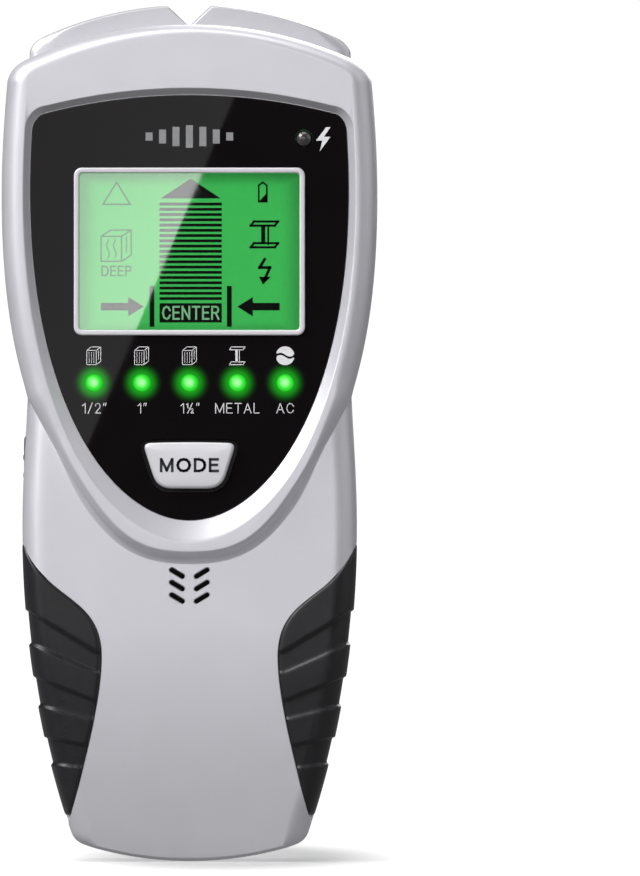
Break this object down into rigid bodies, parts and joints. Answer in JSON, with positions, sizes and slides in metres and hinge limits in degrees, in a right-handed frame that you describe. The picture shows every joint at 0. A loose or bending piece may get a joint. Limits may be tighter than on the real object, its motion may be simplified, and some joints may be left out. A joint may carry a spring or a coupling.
{
  "type": "stud finder",
  "caption": "Handheld wall scanner with a bezel-framed display, scale lamps, soft grips, press buttons and a hinged battery door.",
  "frame": {"origin": "middle of the tool's box at the foot of the tail", "axes": "+Z from the tail to the nose, -Y out of the display towards the user, +Y towards the wall that the glide pads rest on, +X to the user's right"},
  "size_m": [0.07, 0.031, 0.16],
  "materials": {
    "case": "fine satin silver paint on moulded plastic",
    "lens": "high gloss black acrylic",
    "trim": "satin silver",
    "grip": "soft matt overmould",
    "felt": "pressed felt",
    "screw": "zinc plated",
    "foam": "open cell foam",
    "button": "satin silver",
    "side_button": "soft matt",
    "black_part": "moulded",
    "white_part": "moulded",
    "board": "solder mask",
    "lcd": "lit green display",
    "light_guide": "clear acrylic",
    "strip": "layered silicone",
    "green_lamp": "lit lamp",
    "dark_lamp": "unlit lamp",
    "switch_body": "moulded",
    "brass_part": "rolled sheet",
    "copper": "bare copper",
    "ferrite": "sintered",
    "chip": "epoxy",
    "can": "drawn",
    "sleeve": "shrink sleeve",
    "battery_case": "lacquered steel jacket",
    "red_wire": "PVC",
    "black_wire": "PVC"
  },
  "bodies": {
    "case": {"rear_case": "case", "front_case": "case", "display_lens": "lens", "display_trim": "trim", "grip_left": "grip", "grip_right": "grip", "glide_pads": "felt", "case_screws": "screw", "main_board": "board", "board_screws": "screw", "lcd_glass": "lcd", "backlight": "light_guide", "lcd_holder": "white_part", "contact_strips": "strip", "scale_lamps": "green_lamp", "warning_lamp": "dark_lamp", "lamp_baffle": "black_part", "mode_switch": "switch_body", "scan_switch": "switch_body", "buzzer": "black_part", "sensor_board": "board", "sense_plates": "copper", "detector_coil": "copper", "coil_bobbin": "black_part", "ferrite_core": "ferrite", "link_header": "black_part", "link_pins": "brass_part", "controller_chip": "chip", "amplifier_chip": "chip", "crystal": "can", "capacitors": "sleeve", "chip_resistors": "chip", "battery": "battery_case", "battery_studs": "screw", "battery_snap": "black_part", "lead_red": "red_wire", "lead_black": "black_wire"},
    "mode_key": {"mode_button": "button", "mode_plunger": "black_part"},
    "scan_key": {"scan_button": "side_button", "scan_plunger": "black_part"},
    "door": {"battery_door": "case", "door_foam": "foam"}
  },
  "joints": [
    {"name": "mode_press", "type": "slide", "parent": "case", "child": "mode_key", "axis": [0, 1, 0], "range_m": [0, 0.0008], "stiffness_N_per_m": 1500, "springref_m": -0.0007},
    {"name": "scan_press", "type": "slide", "parent": "case", "child": "scan_key", "axis": [1, 0, 0], "range_m": [0, 0.0006], "stiffness_N_per_m": 1500, "springref_m": -0.0007},
    {"name": "door_hinge", "type": "hinge", "parent": "case", "child": "door", "pos_m": [0, 0.0132, 0.01], "axis": [-1, 0, 0], "range_deg": [0, 75]}
  ]
}
